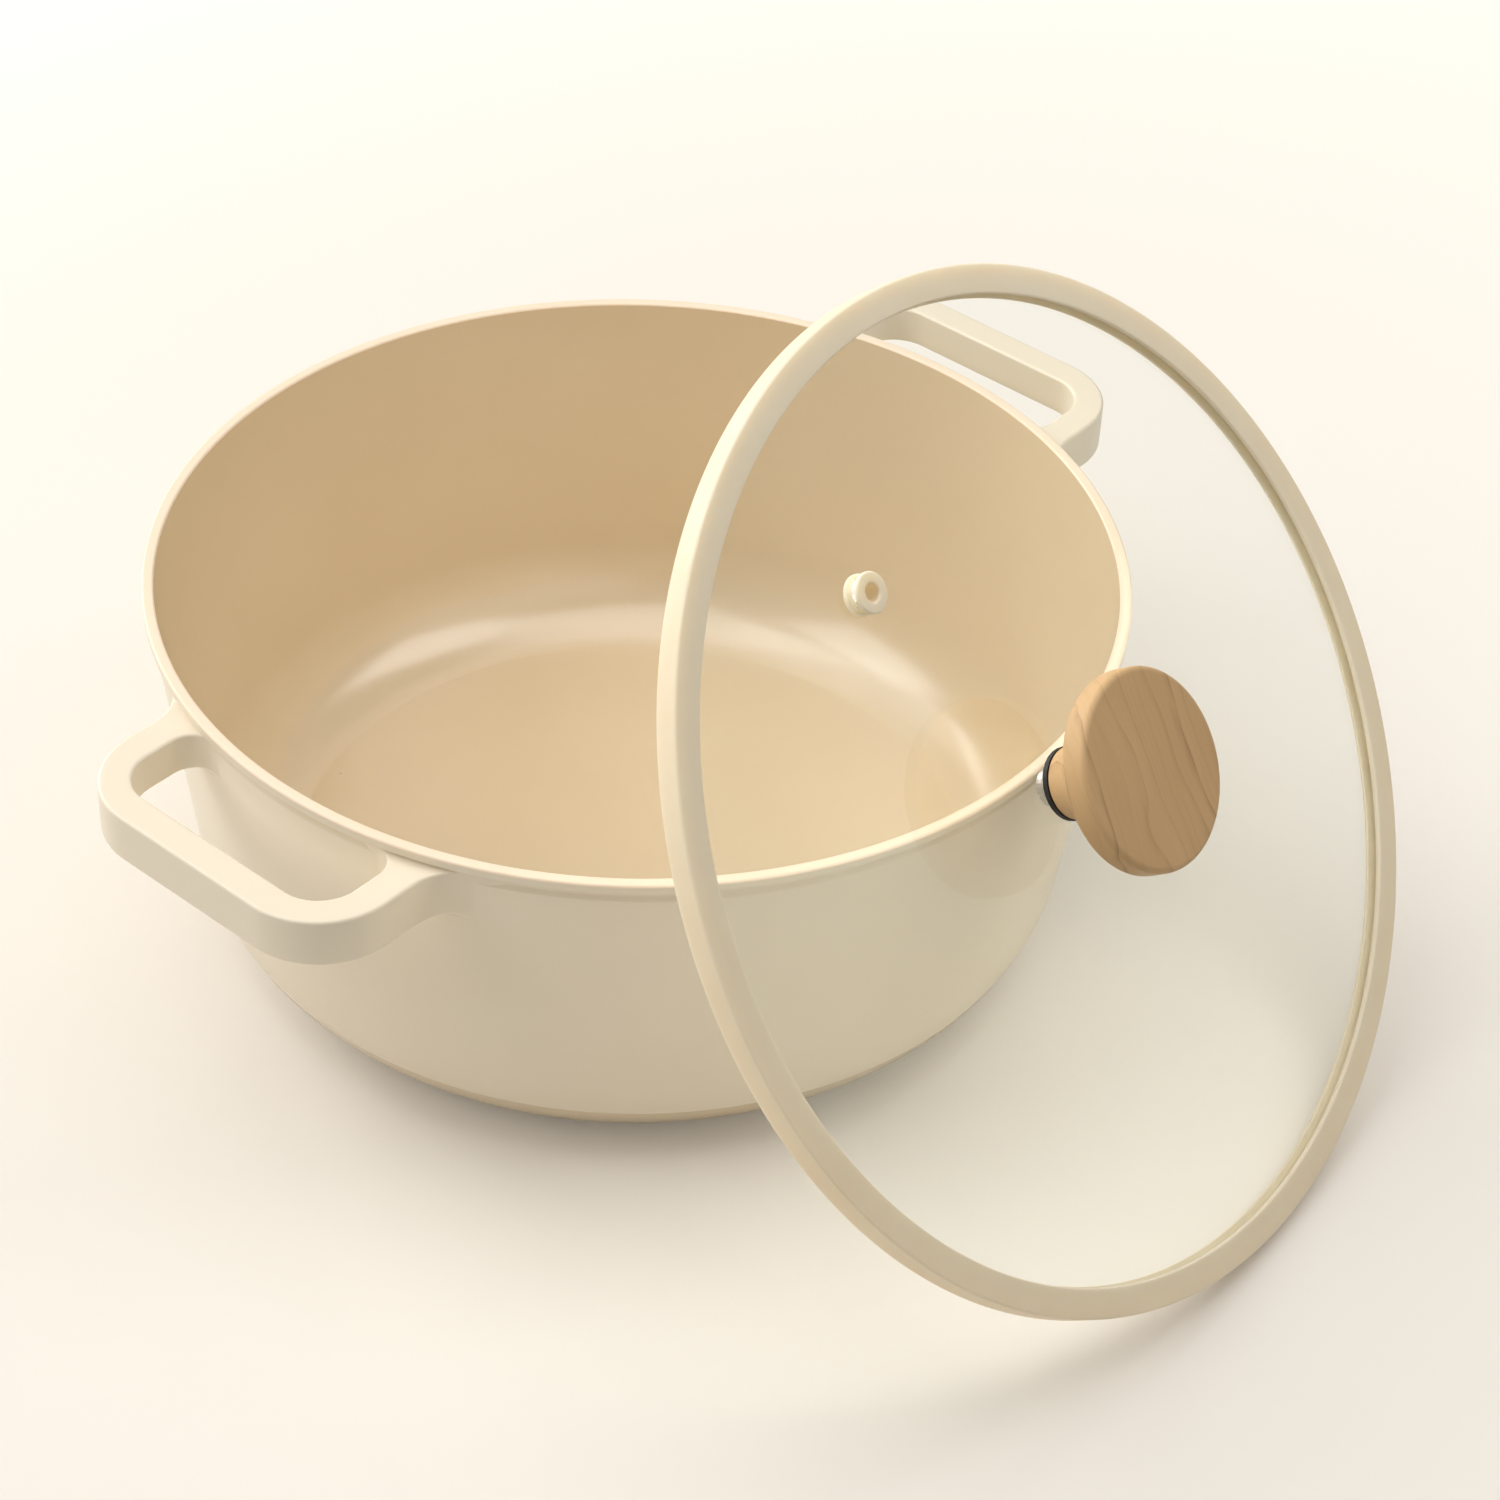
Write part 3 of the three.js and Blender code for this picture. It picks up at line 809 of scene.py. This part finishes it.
# %% [markdown]
# ## Wood
#
# The grain of a plank is what is left of the tree's rings, so the material
# makes rings and lets the shape cut through them. The rings run round an axis
# that lies along the knob's Y and far to one side, with a slow wander. Where
# the face cuts them they show as long thin lines, and on the rim of the disc
# they wrap over the edge, as on real wood. Fine pores are stretched noise
# along the same axis.

# %% Beech
EARLY_WOOD = rgb(214, 178, 130)
SHADED_WOOD = rgb(202, 164, 116)
LATE_WOOD = rgb(146, 108, 70)
PORES = rgb(150, 114, 76)
TREE_SIDE = 0.06  # metres from the knob's middle to the tree's, across and down
TREE_DEPTH = 0.035


def make_beech():
    """Rings as the distance from a far axis times the ring count per metre,
    bent by slow noise. The whole part numbers the ring, which gives each line
    a strength of its own, and the rest of it is the place within the ring."""
    material, tree, shader = new_material("beech", Specular_IOR_Level=0.35)
    place = node(tree, "ShaderNodeTexCoord").outputs["Object"]
    own = node(
        tree, "ShaderNodeMapping", {"vector_type": "TEXTURE"},
        Vector=place, Location=tuple(lid_centre), Rotation=tuple(lid_turn),
    ).outputs[0]
    tilted = node(tree, "ShaderNodeMapping", Vector=own, Rotation=(0.04, 0.0, 0.18)).outputs[0]

    def stretched(across, along, detail):
        """Noise drawn out along the grain."""
        scaled = node(tree, "ShaderNodeMapping", Vector=tilted, Scale=(across, along, across)).outputs[0]
        return node(tree, "ShaderNodeTexNoise", Vector=scaled, Detail=detail).outputs["Fac"]

    slow = stretched(22.0, 6.0, 1.0)
    split = node(tree, "ShaderNodeSeparateXYZ", Vector=tilted)
    far_x = math_node(tree, "ADD", split.outputs[0], TREE_SIDE)
    far_z = math_node(tree, "ADD", split.outputs[2], TREE_DEPTH)
    square_x = math_node(tree, "MULTIPLY", far_x, far_x)
    square_z = math_node(tree, "MULTIPLY", far_z, far_z)
    ring_radius = math_node(tree, "SQRT", math_node(tree, "ADD", square_x, square_z))
    bent = math_node(tree, "ADD", ring_radius, math_node(tree, "MULTIPLY", slow, 8.0 * MM))

    def grain_lines(rings_per_metre):
        """Dark late wood at the end of each ring, by its own strength."""
        turns = math_node(tree, "MULTIPLY", bent, rings_per_metre)
        own_share = node(tree, "ShaderNodeTexWhiteNoise", {"noise_dimensions": "1D"},
                         W=math_node(tree, "FLOOR", turns)).outputs["Value"]
        late = ramp(tree, math_node(tree, "FRACT", turns),
                    (0.0, 0.0), (0.6, 0.08), (0.88, 0.6), (0.94, 1.0), (0.99, 0.0))
        return math_node(tree, "MULTIPLY", late, ramp(tree, own_share, (0.1, 0.2), (0.9, 1.0)))

    broad = grain_lines(260.0)
    narrow = grain_lines(840.0)
    fade = ramp(tree, stretched(70.0, 16.0, 2.0), (0.3, 0.35), (0.6, 1.0))
    stronger = math_node(tree, "MAXIMUM", broad, math_node(tree, "MULTIPLY", narrow, 0.28))
    lines = math_node(tree, "MULTIPLY", stronger, fade)
    pore = ramp(tree, stretched(2600.0, 120.0, 2.0), (0.38, 1.0), (0.5, 0.0))

    base = mix_colours(tree, slow, EARLY_WOOD, SHADED_WOOD)
    lined = mix_colours(tree, math_node(tree, "MULTIPLY", lines, 0.7), base, LATE_WOOD)
    pored = mix_colours(tree, math_node(tree, "MULTIPLY", pore, 0.08), lined, PORES)
    tree.links.new(pored, shader.inputs["Base Color"])
    rough = math_node(tree, "ADD", math_node(tree, "MULTIPLY", lines, 0.1), 0.46)
    tree.links.new(rough, shader.inputs["Roughness"])
    height = math_node(tree, "MULTIPLY", math_node(tree, "ADD", pore, lines), -0.3)
    bump = node(tree, "ShaderNodeBump", Height=height, Strength=0.4, Distance=0.04 * MM)
    tree.links.new(bump.outputs["Normal"], shader.inputs["Normal"])
    return material


beech = make_beech()
knob.data.materials.append(beech)
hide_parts("knob")
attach(knob, "lid")

# %% [markdown]
# ## Glass
#
# The pane's CAD shape is already right: a flat disc with two holes. It stays
# and gets a glass material. Cycles treats glass as solid for shadow rays, and
# a clear pane would throw a dark shadow, so shadow rays pass through a faintly
# tinted transparent shader instead. The tint is the faint green that ordinary
# glass has from its iron.

# %% Pane


def make_glass():
    """Clear glass for the eye, a pale filter for shadow rays."""
    material, tree, shader = new_material(
        "clear_glass", Base_Color=(0.975, 0.99, 0.972, 1), Roughness=0.0, IOR=1.5,
        Transmission_Weight=1.0,
    )
    place = node(tree, "ShaderNodeTexCoord").outputs["Object"]
    smear = node(tree, "ShaderNodeTexNoise", Vector=place, Scale=22.0, Detail=5.0)
    rough = ramp(tree, smear.outputs["Fac"], (0.45, 0.0), (0.85, 0.03))
    tree.links.new(rough, shader.inputs["Roughness"])
    clear = node(tree, "ShaderNodeBsdfTransparent", Color=(0.975, 0.985, 0.972, 1))
    path = node(tree, "ShaderNodeLightPath")
    mixed = node(
        tree, "ShaderNodeMixShader", Fac=path.outputs["Is Shadow Ray"],
        i1=shader.outputs[0], i2=clear.outputs[0],
    )
    tree.links.new(mixed.outputs[0], tree.nodes["Material Output"].inputs["Surface"])
    return material


def dress(node_name, material):
    """A CAD node that stays gets a better material in its own slots."""
    cad = frame["nodes"][node_name]
    cad.data.materials.clear()
    cad.data.materials.append(material)


clear_glass = make_glass()
dress("lid_glass", clear_glass)
print("dressed the pane with", clear_glass.name)

# %% [markdown]
# ## The knob's fastening
#
# A gasket, a seal with a sleeve, a flat washer, a screw and a brass insert
# hold the knob to the glass. They show through the pane from below, so they
# get real finishes: matt black rubber, silicone, and turned metal whose fine
# lines run round the axis. Three metals share those lines, so they come from
# one node group. The steel plate under the pan is the third of them.

# %% Turning marks


def make_turning_group():
    """Fine marks of the lathe: noise read along the radius only, times the
    marks per metre, so that each mark is a circle round the piece's own axis.
    Slow noise clouds the roughness."""
    group, source, sink = new_group(
        "turning_marks",
        [
            ("Colour", "NodeSocketColor", (0.8, 0.8, 0.8, 1)),
            ("Dark Colour", "NodeSocketColor", (0.5, 0.5, 0.5, 1)),
            ("Least Roughness", "NodeSocketFloat", 0.2),
            ("Marks Per Metre", "NodeSocketFloat", 5000.0),
            ("Centre", "NodeSocketVector", (0, 0, 0)),
            ("Turn", "NodeSocketVector", (0, 0, 0)),
        ],
        [
            ("Colour", "NodeSocketColor"),
            ("Roughness", "NodeSocketFloat"),
            ("Height", "NodeSocketFloat"),
        ],
    )
    place = node(group, "ShaderNodeTexCoord").outputs["Object"]
    own = node(
        group, "ShaderNodeMapping", {"vector_type": "TEXTURE"}, Vector=place,
        Location=source.outputs["Centre"], Rotation=source.outputs["Turn"],
    ).outputs[0]
    split = node(group, "ShaderNodeSeparateXYZ", Vector=own)
    flat = node(group, "ShaderNodeCombineXYZ", X=split.outputs[0], Y=split.outputs[1])
    length = node(group, "ShaderNodeVectorMath", {"operation": "LENGTH"}, i0=flat.outputs[0])
    along = math_node(group, "MULTIPLY", length.outputs["Value"], source.outputs["Marks Per Metre"])
    marks = node(group, "ShaderNodeTexNoise", {"noise_dimensions": "1D"}, W=along, Detail=4.0)
    cloud = node(group, "ShaderNodeTexNoise", Vector=place, Scale=90.0, Detail=3.0)
    light, dark = source.outputs["Colour"], source.outputs["Dark Colour"]
    marked = mix_colours(group, marks.outputs["Fac"], light, dark)
    wander = math_node(group, "MULTIPLY", cloud.outputs["Fac"], 0.2)
    roughness = math_node(group, "ADD", source.outputs["Least Roughness"], wander)
    group.links.new(marked, sink.inputs["Colour"])
    group.links.new(roughness, sink.inputs["Roughness"])
    group.links.new(marks.outputs["Fac"], sink.inputs["Height"])
    return group


turning_group = make_turning_group()
print("made", turning_group.name)

# %% Turned metal and rubber
DARKER = 0.72  # how light a turning mark is beside the metal


def make_turned_metal(name, colour, marks_per_metre, centre, turn, least_roughness):
    """Metal with turning marks round the axis at the centre."""
    material, tree, shader = new_material(name, Metallic=1.0)
    dark = tuple(DARKER * channel for channel in colour[:3]) + (1.0,)
    lathe = node(
        tree, "ShaderNodeGroup", {"node_tree": turning_group}, Colour=colour, Dark_Colour=dark,
        Least_Roughness=least_roughness, Marks_Per_Metre=marks_per_metre,
        Centre=tuple(centre), Turn=tuple(turn),
    )
    tree.links.new(lathe.outputs["Colour"], shader.inputs["Base Color"])
    tree.links.new(lathe.outputs["Roughness"], shader.inputs["Roughness"])
    bump = node(tree, "ShaderNodeBump", Height=lathe.outputs["Height"], Strength=0.4, Distance=0.02 * MM)
    tree.links.new(bump.outputs["Normal"], shader.inputs["Normal"])
    return material


def make_black_rubber():
    """Moulded black rubber: nearly black, with a fine matt grain."""
    material, tree, shader = new_material("black_rubber", Roughness=0.6)
    place = node(tree, "ShaderNodeTexCoord").outputs["Object"]
    grain = node(tree, "ShaderNodeTexNoise", Vector=place, Scale=1800.0, Detail=3.0)
    shade = mix_colours(tree, grain.outputs["Fac"], rgb(16, 15, 14), rgb(36, 34, 32))
    tree.links.new(shade, shader.inputs["Base Color"])
    bump = node(tree, "ShaderNodeBump", Height=grain.outputs["Fac"], Strength=0.4, Distance=0.03 * MM)
    tree.links.new(bump.outputs["Normal"], shader.inputs["Normal"])
    return material


stainless = make_turned_metal("stainless", rgb(236, 231, 222), 9000.0, lid_centre, lid_turn, 0.38)
turned_brass = make_turned_metal("turned_brass", rgb(206, 170, 92), 7000.0, lid_centre, lid_turn, 0.2)
plate_steel = make_turned_metal("plate_steel", rgb(186, 186, 184), 2600.0, (0, 0, 0), (0, 0, 0), 0.26)
black_rubber = make_black_rubber()

# %% Fastening
dress("knob_gasket", black_rubber)
dress("knob_insert", turned_brass)
dress("glass_seal", cream_silicone)
dress("flat_washer", stainless)
dress("knob_screw", stainless)
dress("induction_plate", plate_steel)
print("dressed the fastening and the induction plate")

# %% [markdown]
# ## Floor and light
#
# The object stands on a pale warm floor that runs out of sight, as a studio
# sweep does. Three large soft lamps stand at the left and behind, and they make
# the pale shadow that falls towards the front. A small one overhead fills the
# bowl and another lights the front of the lid. An even surround fills the rest,
# so that shadows stay pale and their edges are lost. The floor and the
# background are shown lighter than the light alone would make them, and that
# part is only for the eye, so it doesn't wash out the object.

# %% Floor
PAPER = rgb(247, 242, 232)
DULL_PAPER = rgb(233, 228, 219)
FLOOR_HALF = 12.0
GLOW_CENTRE = (-0.1, 0.04, 0.0)
GLOW_START = 0.18
GLOW_END = 1.1
LEAST_GLOW = 0.1
MOST_GLOW = 0.7


def seen_share(tree):
    """One for rays that the eye sends, straight or through glass, else zero."""
    path = node(tree, "ShaderNodeLightPath")
    return math_node(tree, "MAXIMUM", path.outputs["Is Camera Ray"], path.outputs["Is Transmission Ray"])


def make_floor():
    """A large flat square under the feet, with a paper-like finish. To the eye
    it is lighter than its paper, and more so with distance, as a lit sweep is,
    so that the lamps' falling off doesn't show. That glow lights nothing."""
    half = FLOOR_HALF
    corners = [(-half, -half, 0), (half, -half, 0), (half, half, 0), (-half, half, 0)]
    mesh = bpy.data.meshes.new("floor")
    mesh.from_pydata(corners, [], [(0, 1, 2, 3)])
    floor = bpy.data.objects.new("floor", mesh)
    bpy.context.scene.collection.objects.link(floor)
    material, tree, shader = new_material(
        "paper_floor", Base_Color=DULL_PAPER, Roughness=0.9, Emission_Strength=1.0, Specular_IOR_Level=0.1,
    )
    place = node(tree, "ShaderNodeTexCoord").outputs["Object"]
    away = node(tree, "ShaderNodeVectorMath", {"operation": "DISTANCE"}, i0=place, i1=GLOW_CENTRE)
    glow = node(
        tree, "ShaderNodeMapRange", {"interpolation_type": "SMOOTHSTEP"},
        i0=away.outputs["Value"], i1=GLOW_START, i2=GLOW_END, i3=LEAST_GLOW, i4=MOST_GLOW,
    ).outputs[0]
    shown = math_node(tree, "MULTIPLY", glow, seen_share(tree))
    tree.links.new(mix_colours(tree, shown, (0, 0, 0, 1), PAPER), shader.inputs["Emission Color"])
    floor.data.materials.append(material)


make_floor()
print("floor, metres across:", 2 * FLOOR_HALF)

# %% Surround
LAMP_COLOUR = (1.0, 0.985, 0.97)

world = bpy.data.worlds.new("studio")
world.use_nodes = True
studio = world.node_tree
surround = studio.nodes["Background"]
surround.inputs["Color"].default_value = (*LAMP_COLOUR, 1)
surround.inputs["Strength"].default_value = 0.24
backdrop = node(studio, "ShaderNodeBackground", Color=rgb(254, 247, 237))
either = node(
    studio, "ShaderNodeMixShader", Fac=seen_share(studio), i1=surround.outputs[0], i2=backdrop.outputs[0],
)
studio.links.new(either.outputs[0], studio.nodes["World Output"].inputs["Surface"])
bpy.context.scene.world = world
bpy.context.scene.view_settings.view_transform = "Standard"
print("surround strength:", surround.inputs["Strength"].default_value)

# %% Lamps


def soft_lamp(name, place, aim, size, power):
    """A square area lamp at a place, turned to face a point. It lights the
    object and shows in its gloss, but isn't itself seen."""
    lamp_data = bpy.data.lights.new(name, "AREA")
    lamp_data.shape = "SQUARE"
    lamp_data.size = size
    lamp_data.energy = power
    lamp_data.color = LAMP_COLOUR
    lamp = bpy.data.objects.new(name, lamp_data)
    lamp.location = place
    lamp.rotation_euler = (Vector(aim) - Vector(place)).to_track_quat("-Z", "Y").to_euler()
    lamp.visible_camera = False
    bpy.context.scene.collection.objects.link(lamp)
    print("lamp", name, power, "W")


soft_lamp("left", (-1.22, 0.92, 1.29), (0, 0, 0.05), 1.2, 11.0)
soft_lamp("high_back", (-0.45, 1.1, 2.0), (0, 0, 0.05), 1.7, 10.0)
soft_lamp("low_back", (0.0, 1.6, 0.7), (0, 0, 0.05), 1.0, 14.0)
soft_lamp("overhead", (-0.05, 0.02, 0.8), (0, 0, 0), 0.6, 1.8)
soft_lamp("front", (0.25, -0.3, 0.6), (0, -0.15, 0.12), 0.35, 1.0)
